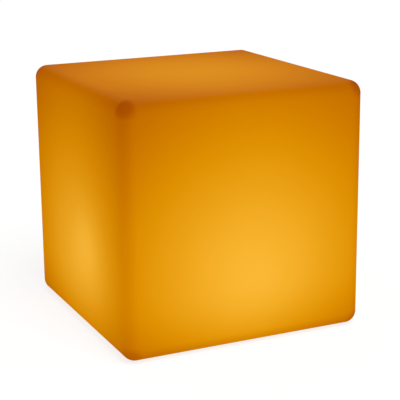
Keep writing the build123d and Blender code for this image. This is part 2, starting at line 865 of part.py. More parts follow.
def lead(route, radius):
    """Insulated lead along straight runs joined by tangent arcs."""
    radii = []
    for before, point, after in zip(route, route[1:], route[2:]):
        shorter = min((point - before).length, (after - point).length)
        turn = radians((point - before).get_angle(after - point))
        radii.append(lead_bend_share * shorter / tan(turn / 2))
    path = FilletPolyline(*route, radius=radii)
    tube = sweep(Plane(origin=path @ 0, z_dir=path % 0) * Circle(radius), path)
    print("lead bends", [round(bend, 1) for bend in radii], "volume against section times length",
          round(tube.volume / (pi * radius ** 2 * path.length), 3))
    return tube


def battery_lead(offset):
    """From the protection board to the board's battery header."""
    top = cell_axis + cell_radius + guard_board_thickness
    start = (guard_board_place + offset, pack_place - guard_board_size[1] / 2 + lead_spacing, top)
    end = on_board((battery_header[0] + offset, battery_header[1]))
    return lead(arched_route(start, (*end, board_high + header_height)), lead_radius)


def charge_lead(side_step, start_level):
    """From the pin, or a contact one step beside it, to the board's charge header."""
    start = (jack_place, control_row - side_step * contact_spread, start_level)
    end = on_board((charge_header[0], charge_header[1] + (1 - 2 * side_step) * lead_spacing / 2))
    return lead(arched_route(start, (*end, board_high + header_height)), lead_radius)


def led_lead():
    """From the board's light header up to the socket under the light board."""
    start = Vector(*on_board(light_header), board_high + header_height)
    end = Vector(0, 0, light_socket_low)
    rise = Vector(0, 0, lead_rise)
    return lead([start, start + rise, end - rise, end], light_lead_radius)


# ---- Writing the pieces --------------------------------------------------------------------------
def main():
    os.makedirs("parts", exist_ok=True)
    pieces = {
        "cube_shell": cube_shell(),
        "screw_inserts": screw_inserts(),
        "flange_gasket": flange_gasket(),
        "flange_screws": flange_screws(),
        "base_plate": base_plate(),
        "power_button": power_button(),
        "button_seal": button_seal(),
        "switch_plunger": switch_plunger(),
        "switch_body": switch_body(),
        "light_pipe": light_pipe(),
        "status_led": status_led(),
        "charge_jack": charge_jack(),
        "charge_jack_pin": charge_jack_pin(),
        "jack_contacts": group(contact_bars(0.0)),
        "jack_seal": jack_seal(),
        "jack_nut": jack_nut(),
        "jack_plug": jack_plug(),
        "plug_anchor": plug_anchor(),
        "control_board": control_board(),
        "board_screws": board_screws(),
        "board_chips": board_chips(),
        "board_sockets": board_sockets(),
        "battery_cradle": battery_cradle(),
        "battery_strap": battery_strap(),
        "strap_screws": strap_screws(),
        "battery_tabs": battery_tabs(),
        "protection_board": protection_board(),
        "tray_seal": tray_seal(),
        "light_tray": light_tray(),
        "led_board": led_board(),
        "led_board_screws": led_board_screws(),
        "led_chips": led_chips(),
        "led_socket": led_socket(),
        "ir_receiver": ir_receiver(),
        "dome_seal": dome_seal(),
        "diffuser_dome": diffuser_dome(),
        "dome_screws": dome_screws(),
        "battery_lead_red": battery_lead(lead_spacing / 2),
        "battery_lead_black": battery_lead(-lead_spacing / 2),
        "charge_lead_red": charge_lead(0, jack_back + jack_pin_tail),
        "charge_lead_black": charge_lead(1, jack_back + contact_tail),
        "led_lead": led_lead(),
    }
    for number, place in enumerate(foot_places(), 1):
        pieces[f"rubber_foot_{number}"] = rubber_foot(place)
    for number, row in enumerate(cell_rows, 1):
        pieces[f"battery_cell_{number}"] = battery_cell(row)
    for name, piece in pieces.items():
        export_step(piece, f"parts/{name}.step")


main()
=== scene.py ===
# %% [markdown]
# # A glowing cube light
# The real thing is a hollow cube of rotation-moulded polyethylene, a milky plastic that a warm lamp lights
# from inside. The lamp, its battery and its controls sit on a round plate that is bolted into the underside.
# All the working pieces come from the CAD model, at their real size. This script adds the finishes, a finer
# skin for the cube and the small parts of the underside that a CAD model keeps plain.

# %% Load the frame
import json
from math import atan2, cos, pi, radians, sin, tan

import bpy
from mathutils import Matrix, Vector


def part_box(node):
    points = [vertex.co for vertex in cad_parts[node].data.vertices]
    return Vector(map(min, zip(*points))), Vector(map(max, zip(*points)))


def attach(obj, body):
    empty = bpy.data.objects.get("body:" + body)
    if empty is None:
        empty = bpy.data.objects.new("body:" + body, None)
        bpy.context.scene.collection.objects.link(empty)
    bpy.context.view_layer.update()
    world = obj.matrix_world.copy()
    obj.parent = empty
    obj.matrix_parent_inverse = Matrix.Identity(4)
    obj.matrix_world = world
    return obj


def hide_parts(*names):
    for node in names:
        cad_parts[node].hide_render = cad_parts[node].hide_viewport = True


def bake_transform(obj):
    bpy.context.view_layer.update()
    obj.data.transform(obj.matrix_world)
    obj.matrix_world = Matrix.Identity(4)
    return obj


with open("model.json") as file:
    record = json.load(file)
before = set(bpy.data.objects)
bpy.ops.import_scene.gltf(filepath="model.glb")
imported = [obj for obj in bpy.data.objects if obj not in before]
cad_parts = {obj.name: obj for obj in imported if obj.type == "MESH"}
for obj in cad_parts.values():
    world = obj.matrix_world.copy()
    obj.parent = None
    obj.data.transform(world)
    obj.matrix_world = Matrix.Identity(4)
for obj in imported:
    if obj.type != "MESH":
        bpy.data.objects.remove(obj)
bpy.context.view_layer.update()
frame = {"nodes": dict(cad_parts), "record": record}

nodes = frame["nodes"]
MM = 0.001

# %% [markdown]
# ## The camera
# It stands where the photographer stood: to the left of the front face, a little above the cube's top. A
# long lens from two metres keeps the upright edges almost parallel. The angles were found by fitting a
# rounded cube of this size to the outline in the photograph.

# %% Place the camera
turn_right = 0.4341
look_down = 0.2632
tilt = -0.0101
stand = (-0.8161, -1.7892, 0.7136)
camera_data = bpy.data.cameras.new("camera")
camera_data.lens = 112.0
camera_data.sensor_width = 36.0
camera = bpy.data.objects.new("camera", camera_data)
turned_aside = Matrix.Rotation(-turn_right, 3, "Z")
turned_down = Matrix.Rotation(pi / 2 - look_down, 3, "X")
facing = turned_aside @ turned_down @ Matrix.Rotation(tilt, 3, "Z")
camera.matrix_world = Matrix.Translation(stand) @ facing.to_4x4()
bpy.context.collection.objects.link(camera)
bpy.context.scene.camera = camera
bpy.context.scene.view_settings.view_transform = "Standard"
print("camera lens:", camera_data.lens, "mm")

# %% [markdown]
# ## Writing shader maths as plain expressions
# A material's pattern is a sum of simple shapes, such as a distance or a smooth step. As nodes that takes
# dozens of boxes. Wrapping a node's output in a small class lets Python's own +, * and ** add those boxes,
# so the pattern reads as the formula that it is.


# %% A socket that can be reckoned with
class Flow:
    """One output of a node. Sums, products and powers with numbers or other flows add Math nodes."""

    def __init__(self, recipe, socket):
        self.recipe = recipe
        self.socket = socket

    def math(self, operation, *values):
        sockets = dict(enumerate(values))
        return self.recipe.node("ShaderNodeMath", {"operation": operation}, sockets)["Value"]

    def __add__(self, other):
        return self.math("ADD", self, other)

    def __sub__(self, other):
        return self.math("SUBTRACT", self, other)

    def __rsub__(self, other):
        return self.math("SUBTRACT", other, self)

    def __mul__(self, other):
        return self.math("MULTIPLY", self, other)

    def __pow__(self, other):
        return self.math("POWER", self, other)

    def __abs__(self):
        return self.math("ABSOLUTE", self)

    def at_least(self, other):
        return self.math("MAXIMUM", self, other)

    def exp(self):
        return self.math("EXPONENT", self)

    def step(self, start, end):
        """Rises smoothly from 0 at start to 1 at end."""
        settings = {"interpolation_type": "SMOOTHSTEP"}
        sockets = {"Value": self, "From Min": start, "From Max": end}
        return self.recipe.node("ShaderNodeMapRange", settings, sockets)["Result"]

    __radd__ = __add__
    __rmul__ = __mul__


# %% A recipe: one material or world and its nodes
class MadeNode:
    """A node of a recipe, whose outputs are read by name."""

    def __init__(self, recipe, node):
        self.recipe = recipe
        self.outputs = node.outputs

    def __getitem__(self, name):
        return Flow(self.recipe, self.outputs[name])


class Recipe:
    """The nodes of a material or a world. Its node method makes each: type, settings, then sockets."""

    def __init__(self, owner):
        self.owner = owner
        owner.use_nodes = True
        self.tree = owner.node_tree
        self.tree.nodes.clear()

    def node(self, kind, settings=None, sockets=None):
        node = self.tree.nodes.new(kind)
        for name, value in (settings or {}).items():
            setattr(node, name, value)
        for name, value in (sockets or {}).items():
            if isinstance(value, Flow):
                self.tree.links.new(value.socket, node.inputs[name])
            else:
                node.inputs[name].default_value = value
        return MadeNode(self, node)

    def place(self):
        """Object coordinates, which are metres in the part's own frame."""
        return self.node("ShaderNodeTexCoord")["Object"]

    def xyz(self):
        parts = self.node("ShaderNodeSeparateXYZ", None, {"Vector": self.place()})
        return parts["X"], parts["Y"], parts["Z"]

    def reach(self, *offsets):
        """The distance that some offsets add up to."""
        total = offsets[0] * offsets[0]
        for offset in offsets[1:]:
            total = total + offset * offset
        return total ** 0.5

    def noise(self, scale, detail, stretch=(1, 1, 1)):
        """Soft clouds around 0.5, about one over the scale in metres wide."""
        mapped = self.node("ShaderNodeMapping", None, {"Vector": self.place(), "Scale": stretch})["Vector"]
        sockets = {"Vector": mapped, "Scale": scale, "Detail": detail}
        return self.node("ShaderNodeTexNoise", None, sockets)["Fac"]

    def cells(self, distance, scale, randomness=1.0):
        """How far each place is from the middle of its cell, in a pattern of cells."""
        sockets = {"Vector": self.place(), "Scale": scale, "Randomness": randomness}
        return self.node("ShaderNodeTexVoronoi", {"distance": distance}, sockets)["Distance"]

    def mix(self, amount, low, high):
        """A colour between two, by an amount from 0 to 1."""
        low, high = (tone if isinstance(tone, Flow) else (*tone, 1) for tone in (low, high))
        return self.node("ShaderNodeMix", {"data_type": "RGBA"}, {0: amount, 6: low, 7: high})[2]

    def colour(self, red, green, blue):
        return self.node("ShaderNodeCombineColor", None, {"Red": red, "Green": green, "Blue": blue})["Color"]

    def bump(self, height, distance, strength):
        sockets = {"Height": height, "Distance": distance, "Strength": strength}
        return self.node("ShaderNodeBump", None, sockets)["Normal"]

    def either(self, amount, first, second):
        """The first shader where the amount is 0, the second where it is 1."""
        return self.node("ShaderNodeMixShader", None, {0: amount, 1: first, 2: second})["Shader"]

    def surface(self, sockets):
        """Ends the recipe with a Principled surface and gives back the material."""
        shader = self.node("ShaderNodeBsdfPrincipled", None, sockets)["BSDF"]
        return self.close("ShaderNodeOutputMaterial", shader)

    def close(self, kind, shader):
        self.node(kind, None, {"Surface": shader})
        return self.owner


def recipe_for(name):
    return Recipe(bpy.data.materials.new(name))


def varied(pattern, middle, spread):
    """A value that a pattern around 0.5 carries up and down by half the spread."""
    return pattern * spread + (middle - spread / 2)


print("shader helpers are ready")

# %% [markdown]
# ## Floor, world and lamp
# The photograph is a cut-out on pure white. Here the floor and the world are white where the camera sees
# them, in mirror images and through glass. The light itself is set apart from that: a dim even sky, a floor
# that throws some light back up, and one large soft lamp high over the viewer, far enough away to light
# every side evenly. The floor keeps a faint shadow, so that the cube stands on something. From below it lets
# the camera through, because the underside has to be seen too.


# %% Floor
def seen_rays(r):
    """1 for what the camera sees directly, in a mirror image or through glass, and 0 for light itself."""
    rays = r.node("ShaderNodeLightPath")
    return rays["Is Camera Ray"].at_least(rays["Is Glossy Ray"]).at_least(rays["Is Transmission Ray"])


floor_side = 40.0
floor_paint = (0.92, 0.92, 0.92, 1)
floor_bounce = 0.72
shadow_share = 0.20
lit_white = 1.03
bpy.ops.object.select_all(action="DESELECT")
bpy.ops.mesh.primitive_plane_add(size=floor_side)
floor = bpy.context.active_object
floor.name = "floor"


def floor_white():
    r = recipe_for("floor_white")
    paint = r.node("ShaderNodeBsdfDiffuse", None, {"Color": floor_paint})["BSDF"]
    white = r.node("ShaderNodeEmission", None, {"Strength": lit_white})["Emission"]
    bounce = r.node("ShaderNodeEmission", None, {"Strength": floor_bounce})["Emission"]
    from_above = r.either(seen_rays(r), bounce, r.either(shadow_share, white, paint))
    camera_ray = r.node("ShaderNodeLightPath")["Is Camera Ray"]
    seen_from_below = r.node("ShaderNodeNewGeometry")["Backfacing"] * camera_ray
    clear = r.node("ShaderNodeBsdfTransparent")["BSDF"]
    return r.close("ShaderNodeOutputMaterial", r.either(seen_from_below, from_above, clear))


floor.data.materials.append(floor_white())
print("floor side:", floor_side, "m")

# %% World
sky_light = 0.30
sky_white = 1.0
studio = bpy.data.worlds.new("studio")
bpy.context.scene.world = studio
sky = Recipe(studio)
dim, white = (
    sky.node("ShaderNodeBackground", None, {"Color": (1, 1, 1, 1), "Strength": strength})["Background"]
    for strength in (sky_light, sky_white)
)
sky.close("ShaderNodeOutputWorld", sky.either(seen_rays(sky), dim, white))
print("sky light:", sky_light)

# %% Lamp
lamp_from = Vector((0.0, -0.46, 0.68)).normalized()
lamp_away = 2.0
lamp_share = 0.86
softness = radians(42)
lamp_data = bpy.data.lights.new("softbox", "SUN")
lamp_data.energy = lamp_share * pi
lamp_data.angle = softness
lamp = bpy.data.objects.new("softbox", lamp_data)
lamp.location = lamp_from * lamp_away
lamp.rotation_euler = lamp_from.to_track_quat("Z", "Y").to_euler()
bpy.context.collection.objects.link(lamp)
print("lamp strength:", round(lamp_data.energy, 2))

# %% [markdown]
# ## Modelling by hand, in code
# Each new piece starts as a primitive of the right size at the right place. Round parts grow ring by ring: a
# disc is extruded and resized, again and again, along the piece's outline. Square parts are cubes with
# bevelled edges. Holes are cut with boolean modifiers, as a mould's cores would leave them.


# %% Selecting, naming and cutting
def activate(piece):
    bpy.ops.object.select_all(action="DESELECT")
    piece.select_set(True)
    bpy.context.view_layer.objects.active = piece


def added(name):
    """Names the object that the last operator added."""
    piece = bpy.context.active_object
    piece.name = name
    piece.data.name = name
    return piece


def settle(piece):
    """Moves the object's place, turn and scale into its mesh."""
    activate(piece)
    bpy.ops.object.transform_apply(location=True, rotation=True, scale=True)
    return piece


def apply_modifier(piece, kind, **settings):
    modifier = piece.modifiers.new(kind.lower(), kind)
    for name, value in settings.items():
        setattr(modifier, name, value)
    activate(piece)
    bpy.ops.object.modifier_apply(modifier=modifier.name)


def boolean(piece, tool, operation="DIFFERENCE"):
    """Cuts the tool from the piece, or joins it on, and throws the tool away."""
    apply_modifier(piece, "BOOLEAN", object=tool, operation=operation, solver="EXACT")
    bpy.data.objects.remove(tool)
    return piece


def join(pieces):
    activate(pieces[0])
    for piece in pieces:
        piece.select_set(True)
    bpy.ops.object.join()
    return pieces[0]


def copied(piece, name, move):
    """A copy with its own mesh, moved."""
    activate(piece)
    shift = {"value": move}
    bpy.ops.object.duplicate_move(OBJECT_OT_duplicate={"linked": False}, TRANSFORM_OT_translate=shift)
    return settle(added(name))


# %% Rounded blocks and turned pieces
def rounded_block(name, size, middle, radius, segments):
    """A block whose every edge is bevelled to a quarter round."""
    bpy.ops.object.select_all(action="DESELECT")
    bpy.ops.mesh.primitive_cube_add(size=1, location=middle, scale=size)
    block = settle(added(name))
    bpy.ops.object.mode_set(mode="EDIT")
    bpy.ops.mesh.select_all(action="SELECT")
    bpy.ops.mesh.bevel(offset=radius, segments=segments, affect="EDGES")
    bpy.ops.object.mode_set(mode="OBJECT")
    return block


def turned(name, outline, sides, place=(0.0, 0.0)):
    """A round piece that grows ring by ring along an outline of (radius, level) points."""
    bpy.ops.object.select_all(action="DESELECT")
    radius, level = outline[0]
    start = (*place, level)
    bpy.ops.mesh.primitive_circle_add(vertices=sides, radius=radius, fill_type="NGON", location=start)
    piece = added(name)
    bpy.ops.object.mode_set(mode="EDIT")
    bpy.ops.mesh.select_all(action="SELECT")
    for next_radius, next_level in outline[1:]:
        bpy.ops.mesh.extrude_region_move(TRANSFORM_OT_translate={"value": (0, 0, next_level - level)})
        grow = next_radius / radius
        bpy.ops.transform.resize(value=(grow, grow, 1), center_override=(*place, next_level))
        radius, level = next_radius, next_level
    bpy.ops.mesh.select_all(action="SELECT")
    bpy.ops.mesh.normals_make_consistent(inside=False)
    bpy.ops.object.mode_set(mode="OBJECT")
    return settle(piece)


def arc(middle, radius, start, end, steps):
    """Points of an arc in the plane of (radius, level), from one angle to another in degrees."""
    turns = [radians(start + (end - start) * step / steps) for step in range(steps + 1)]
    return [(middle[0] + radius * cos(turn), middle[1] + radius * sin(turn)) for turn in turns]


def around(count, radius, start=0.0):
    """Places evenly spaced on a circle about the upright axis, the first at an angle in degrees."""
    turns = [radians(start) + 2 * pi * step / count for step in range(count)]
    return [(radius * cos(turn), radius * sin(turn)) for turn in turns]


smooth_below = radians(30)


def finish_piece(piece, material, body=None):
    """Smooths the rounds, keeps the flats flat, and gives the piece its finish and its body."""
    activate(piece)
    bpy.ops.object.shade_smooth_by_angle(angle=smooth_below)
    apply_modifier(piece, "WEIGHTED_NORMAL", keep_sharp=True)
    piece.data.materials.clear()
    piece.data.materials.append(material)
    if body:
        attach(piece, body)
    print(piece.name, "faces:", len(piece.data.polygons))
    return piece


# %% [markdown]
# ## The glow
# Inside the cube a lamp dome stands on the base, about a quarter of the way up. Each wall glows most beside
# it and less the further away it is, and light that bounces around inside fills in the rest. One place low
# on the left is a little thinner, so it glows more. The rounded edges are darker, because less light reaches
# into them. The glow is written as that formula, in metres from the lamp.
#
# Amber light grows yellower as it grows stronger: red rises as the root of green, and a little blue comes in
# only where it is brightest. The top has a pale painted sheen, a painted reflection of the light above it.
# A part of the glow, with its falloff and shaded edges, is painted into the plastic's colour as painted light
# and shade; the rest is emitted light, so the cube looks lit in bright surroundings as well as in the dark.
# The plastic is paler than the light, so the painted share is small in red and large in blue. The glow drowns
# all gloss, so the shell has no specular layer.

# %% The cube's measures
shell_low, shell_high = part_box("cube_shell")
shell_middle = (shell_low + shell_high) / 2
shell_half = (shell_high - shell_low) / 2
edge_round = 20 * MM
wall = 4 * MM
print("shell half size:", [round(x, 4) for x in shell_half])

# %% Where the glow is strong
lamp_level = 0.106
lamp_lean = 0.0066
broad_strength = 0.722
broad_reach = 0.288
near_strength = 0.0486
near_reach = 0.095
rise = 0.159
half_way = 0.2
floor_loss = 0.31
band_reach = 0.0264
band_share = 0.8
band_power = 1.275
edge_loss = 0.351
edge_rise = 1.1
top_loss = 0.128
thin_place = (-0.2, -0.0455, 0.140)
thin_strength = 0.090
thin_reach = 0.065


def fading(squared, reach):
    """A bell shape: 1 where the squared distance is 0, falling away over the reach."""
    return (squared * (-1 / reach ** 2)).exp()


def edge_band(place):
    """0 on the flat faces, rising into the rounded edges and most of all into the corners."""
    ends = [
        ((abs(axis - middle) - (half - band_reach)) * (1 / band_reach)).at_least(0.0)
        for axis, middle, half in zip(place, shell_middle, shell_half)
    ]
    band = ends[0] * ends[1] + ends[1] * ends[2] + ends[2] * ends[0]
    return ((band * band_share) ** band_power).step(0.0, 1.0)


def wall_glow(r, x, y, z):
    """How strongly the wall glows at a place, from 0 to about 0.55."""
    up = z - lamp_level
    aside = x - lamp_lean
    away = aside * aside + y * y + up * up
    near = fading((away - shell_half.x ** 2).at_least(0.0), near_reach)
    below = (up * (-1 / lamp_level)).at_least(0.0)
    height = z - half_way
    open_wall = fading(away, broad_reach) * broad_strength + near * near_strength + height * rise
    edge_shade = edge_band((x, y, z)) * (height * edge_rise + 1) * edge_loss
    top_shade = z.step(shell_high.z - edge_round, shell_high.z) * top_loss
    thin_away = r.reach(*(axis - middle for axis, middle in zip((x, y, z), thin_place)))
    thin = fading(thin_away * thin_away, thin_reach) * thin_strength
    return open_wall * (1 - below * below * floor_loss) * (1 - edge_shade) * (1 - top_shade) + thin


# %% Where the underside is dim
module_shade = 0.40
module_near_shade = 0.25
module_near = 0.09
module_far = 0.17
shade_level = 26 * MM
light_level = 34 * MM


def underside_shade(r, x, y, z):
    """The lamp module stands in its own light, so the underside is dim, most so beside the module."""
    side = abs(x).at_least(abs(y))
    inside = 1 - side.step(shell_half.x - 1.5 * edge_round, shell_half.x - 0.5 * edge_round)
    low = 1 - z.step(shade_level, light_level)
    beside = 1 - r.reach(x, y).step(module_near, module_far)
    return inside * low * (beside * module_near_shade + module_shade)


# %% Amber plastic
# Share of the glow painted into the base colour: painted light and shade from the lamp inside.
painted_glow_share = (0.25, 0.36, 0.70)
cloud_share = 0.07
speck_share = 0.025
least_glow = 0.02
red_share = 1.395
blue_from = 0.24
blue_share = 0.60
# Painted sheen on the top: a painted reflection of the light above, added to colour and glow.
painted_sheen_share = 0.060
painted_sheen_depth = 0.3 * edge_round


def shell_glow():
    r = recipe_for("shell_glow")
    x, y, z = r.xyz()
    cloud = r.noise(scale=9.0, detail=3.0, stretch=(1, 1, 0.6)) - 0.5
    speck = r.noise(scale=70.0, detail=2.0) - 0.5
    uneven = 1 + cloud * cloud_share + speck * speck_share
    glow = wall_glow(r, x, y, z) * (1 - underside_shade(r, x, y, z)) * uneven
    glow = glow.at_least(least_glow)
    bright = (glow - blue_from).at_least(0.0)
    # Painted sheen: the top edge band is made paler, a painted reflection of the overhead light.
    bloom_and_painted_sheen = glow * z.step(shell_high.z - painted_sheen_depth, shell_high.z) * painted_sheen_share
    amber = (glow ** 0.5 * red_share + bloom_and_painted_sheen, glow + bloom_and_painted_sheen, bright * bright * blue_share + bloom_and_painted_sheen)
    pits = r.noise(scale=900.0, detail=2.0)
    return r.surface({
        # The base colour holds painted light and shade: the glow's falloff, shaded edges and painted top
        # sheen.
        "Base Color": r.colour(*(part * share for part, share in zip(amber, painted_glow_share))),
        "Roughness": 0.55,
        "Specular IOR Level": 0.0,
        "Emission Color": r.colour(*(part * (1 - share) for part, share in zip(amber, painted_glow_share))),
        "Emission Strength": 1.0,
        "Normal": r.bump(pits, distance=0.4 * MM, strength=0.25),
    })


shell_material = shell_glow()
print("glow nodes:", len(shell_material.node_tree.nodes))

# %% [markdown]
# ## The cube's skin
# Rotation moulding leaves an even wall inside and out, rounded everywhere. So the skin is a bevelled block
# with a smaller bevelled block taken out of it. The recess in the underside is one turned core: it flares at
# its mouth, leans back a few degrees so that the moulding lets go of it, and ends in the flat seat for the
# lamp plate, with the opening for the lamp in its middle. Bosses for the screws and sockets for the feet
# stand on the inside.

# %% Measures of the recess, read from what sits in it
plate_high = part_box("base_plate")[1]
gasket_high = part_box("flange_gasket")[1]
screws_low, screws_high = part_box("flange_screws")
inserts_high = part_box("screw_inserts")[1]
draft = 4
past = 5 * MM
seat_level = gasket_high.z
seat_radius = plate_high.x + 3 * MM
opening_radius = seat_radius - 24 * MM
seat_top = seat_level + 5 * MM
head_radius = 4 * MM
screw_circle = screws_high.y - head_radius
screw_places = around(6, screw_circle, start=90)
foot_boxes = [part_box(f"rubber_foot_{number}") for number in (1, 2, 3, 4)]
foot_places = [tuple(((low + high) / 2).xy) for low, high in foot_boxes]
print("seat:", round(seat_level, 4), round(seat_radius, 4), "opening:", round(opening_radius, 4))


# %% The core that shapes the recess
def wall_at(level):
    """Radius of the leaning recess wall at a level."""
    return seat_radius + (seat_level - level) * tan(radians(draft))


def recess_core():
    lip = 4 * MM
    corner = 2 * MM
    rim = 1.5 * MM
    slant = cos(radians(draft))
    lip_middle = (wall_at(shell_low.z + lip) + lip / slant, shell_low.z + lip)
    corner_middle = (wall_at(seat_level - corner) - corner / slant, seat_level - corner)
    rim_middle = (opening_radius + rim, seat_level + rim)
    outline = [
        (lip_middle[0], shell_low.z - past),
        *arc(lip_middle, lip, start=270, end=180 + draft, steps=10),
        *arc(corner_middle, corner, start=draft, end=90, steps=8),
        *arc(rim_middle, rim, start=270, end=180, steps=6),
        (opening_radius, seat_top + past),
    ]
    return turned("recess_core", outline, sides=192)


def recess_cup():
    """The block of wall around the recess, before the core is taken out of it."""
    foot = wall_at(shell_low.z + wall) + wall
    outer = wall_at(seat_level) + wall
    shoulder = arc((outer - wall, seat_top - wall), wall, start=0, end=90, steps=6)
    outline = [(foot, shell_low.z + wall / 2), (outer, seat_level), *shoulder]
    return turned("recess_cup", outline, sides=192)


# %% Bosses and sockets
small_sides = 48
sunk = 1 * MM


def boss(place):
    height = seat_level + 14 * MM
    shoulder = height - 1 * MM
    outline = [(8 * MM, seat_level + sunk), (7.2 * MM, shoulder), (6.4 * MM, height)]
    return turned("boss", outline, small_sides, place)


def insert_hole(place):
    insert = 3.65 * MM
    screw = 2.3 * MM
    screw_end = seat_level + 11 * MM
    outline = [
        (insert, seat_level - sunk),
        (insert, inserts_high.z),
        (screw, inserts_high.z),
        (screw, screw_end),
    ]
    return turned("insert_hole", outline, small_sides, place)


def foot_socket(place):
    top = shell_low.z + 9.5 * MM
    shoulder = top - 1 * MM
    outline = [(8.5 * MM, shell_low.z + sunk), (8 * MM, shoulder), (7 * MM, top)]
    return turned("foot_socket", outline, small_sides, place)


def foot_hole(place):
    mouth = 0.6 * MM
    bore = 4.55 * MM
    stem_end = shell_low.z + 6.5 * MM
    outline = [
        (bore + mouth, shell_low.z - sunk),
        (bore + mouth, shell_low.z),
        (bore, shell_low.z + mouth),
        (bore, stem_end),
    ]
    return turned("foot_hole", outline, small_sides, place)


# %% Cut and join the skin
shell_size = shell_high - shell_low
room_size = shell_size - Vector((2, 2, 2)) * wall
shell_skin = rounded_block("shell_skin", shell_size, shell_middle, edge_round, segments=14)
inner_room = rounded_block("inner_room", room_size, shell_middle, edge_round - wall, segments=10)
shell_skin = boolean(shell_skin, inner_room)
shell_skin = boolean(shell_skin, recess_cup(), "UNION")
shell_skin = boolean(shell_skin, join([boss(place) for place in screw_places]), "UNION")
shell_skin = boolean(shell_skin, join([foot_socket(place) for place in foot_places]), "UNION")
shell_skin = boolean(shell_skin, recess_core())
shell_skin = boolean(shell_skin, join([insert_hole(place) for place in screw_places]))
shell_skin = boolean(shell_skin, join([foot_hole(place) for place in foot_places]))
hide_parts("cube_shell")
finish_piece(shell_skin, shell_material, "housing")

# %% [markdown]
# ## Plastics of the lamp module
# Injection-moulded plastic is never one flat colour. The tool's face is spark-eroded, which prints an even
# fine grain, and the melt dulls some patches more than others as it flows. One recipe makes all the plain
# mouldings from a colour, a shade of it and a grain. The base plate gets its own: its control well is
# polished, the rest is grained and holds a little dust.


# %% Moulded plastic
def moulded(name, colour, shade, roughness, grain=1600.0):
    r = recipe_for(name)
    patch = r.noise(scale=22.0, detail=3.0)
    return r.surface({
        "Base Color": r.mix(patch.step(0.35, 0.65), shade, colour),
        "Roughness": varied(patch, roughness, spread=0.16),
        "Normal": r.bump(r.noise(grain, detail=2.0), distance=0.04 * MM, strength=0.5),
    })


# %% Base plate
control_row = -20 * MM
well_radius = 16 * MM
well_reach = 26 * MM


def plate_plastic():
    r = recipe_for("base_plastic")
    x, y, z = r.xyz()
    past_middle = (abs(x) - well_reach).at_least(0.0)
    well_away = r.reach(past_middle, y - control_row)
    polished = 1 - well_away.step(well_radius - 1 * MM, well_radius + 0.5 * MM)
    patch = r.noise(scale=18.0, detail=3.0)
    dust = r.noise(scale=90.0, detail=4.0).step(0.55, 0.75) * (1 - polished)
    clean = r.mix(patch.step(0.35, 0.65), (0.74, 0.73, 0.70), (0.80, 0.79, 0.76))
    grain = r.noise(scale=1500.0, detail=2.0) * (1 - polished)
    return r.surface({
        "Base Color": r.mix(dust * 0.10, clean, (0.46, 0.43, 0.38)),
        "Roughness": 0.58 + patch * 0.12 - polished * 0.30,
        "Normal": r.bump(grain, distance=0.08 * MM, strength=0.6),
    })


# %% [markdown]
# ## Rubber and silicone
# Silicone has hazy patches, and foot rubber is dull and picks up pale dust where it touches the ground. Both
# have a soft broad sheen, which a high roughness with a weak specular layer gives.


# %% Soft parts
soft_specular = 0.35


def soft(name, colour, bloom_and_painted_sheen, roughness, grain):
    r = recipe_for(name)
    haze = r.noise(scale=55.0, detail=4.0)
    return r.surface({
        "Base Color": r.mix(haze.step(0.42, 0.70) * 0.6, colour, bloom_and_painted_sheen),
        "Roughness": varied(haze, roughness, spread=0.14),
        "Specular IOR Level": soft_specular,
        "Normal": r.bump(r.noise(grain, detail=3.0), distance=0.05 * MM, strength=0.5),
    })


def foot_rubber():
    r = recipe_for("foot_rubber")
    x, y, z = r.xyz()
    near_ground = 1 - z.step(0.2 * MM, 1.4 * MM)
    worn = near_ground * r.noise(scale=160.0, detail=4.0).step(0.30, 0.62)
    return r.surface({
        "Base Color": r.mix(worn * 0.55, (0.045, 0.045, 0.045), (0.20, 0.19, 0.175)),
        "Roughness": 0.72 + worn * 0.16,
        "Specular IOR Level": soft_specular,
        "Normal": r.bump(r.noise(scale=1300.0, detail=3.0), distance=0.1 * MM, strength=0.6),
    })


# %% [markdown]
# ## Metals
# Turned and plated parts show fine scratches that run one way and faint clouds of tarnish. The scratches are
# noise that is squeezed along one axis, and they change both the roughness and the bump.


# %% Metal
def metal(name, colour, tarnish, roughness, stretch):
    r = recipe_for(name)
    scratch = r.noise(scale=420.0, detail=4.0, stretch=stretch)
    cloud = r.noise(scale=60.0, detail=3.0)
    return r.surface({
        "Base Color": r.mix(cloud.step(0.40, 0.72), colour, tarnish),
        "Metallic": 1.0,
        "Roughness": varied(scratch, roughness, spread=0.22),
        "Normal": r.bump(scratch, distance=0.02 * MM, strength=0.5),
    })


# %% [markdown]
# ## Boards, cells and lights
# These sit inside, out of sight unless the module is taken apart, but each still gets what it has on a
# bench: tracks under the boards' lacquer, yellow phosphor in the lamps, a frosted dome that spreads their
# light, and the creased plastic sleeve of the cells.


# %% Circuit boards
def circuit_board():
    r = recipe_for("circuit_board")
    cells = r.cells("MANHATTAN", scale=420.0, randomness=0.7)
    track = cells.step(0.42, 0.50) * (1 - cells.step(0.62, 0.70))
    return r.surface({
        "Base Color": r.mix(track, (0.012, 0.10, 0.045), (0.05, 0.24, 0.10)),
        "Roughness": 0.34 + track * 0.10,
        "Normal": r.bump(track, distance=0.04 * MM, strength=0.6),
    })


def led_board_white():
    r = recipe_for("board_aluminium")
    pad = r.cells("CHEBYCHEV", scale=150.0).step(0.50, 0.54)
    return r.surface({
        "Base Color": r.mix(pad, (0.88, 0.88, 0.87), (0.80, 0.79, 0.76)),
        "Roughness": 0.40 - pad * 0.10,
        "Normal": r.bump(pad, distance=0.03 * MM, strength=0.6),
    })


# %% Lamps, dome and light pipe
lamp_glow = 0.30


def lamp_resin():
    r = recipe_for("lamp_white")
    phosphor = r.noise(scale=1200.0, detail=2.0).step(0.35, 0.65)
    return r.surface({
        "Base Color": r.mix(phosphor, (0.80, 0.68, 0.34), (0.80, 0.56, 0.14)),
        "Roughness": 0.15 + phosphor * 0.10,
        "Emission Color": r.mix(phosphor, (1.0, 0.66, 0.22), (1.0, 0.50, 0.10)),
        "Emission Strength": lamp_glow,
    })


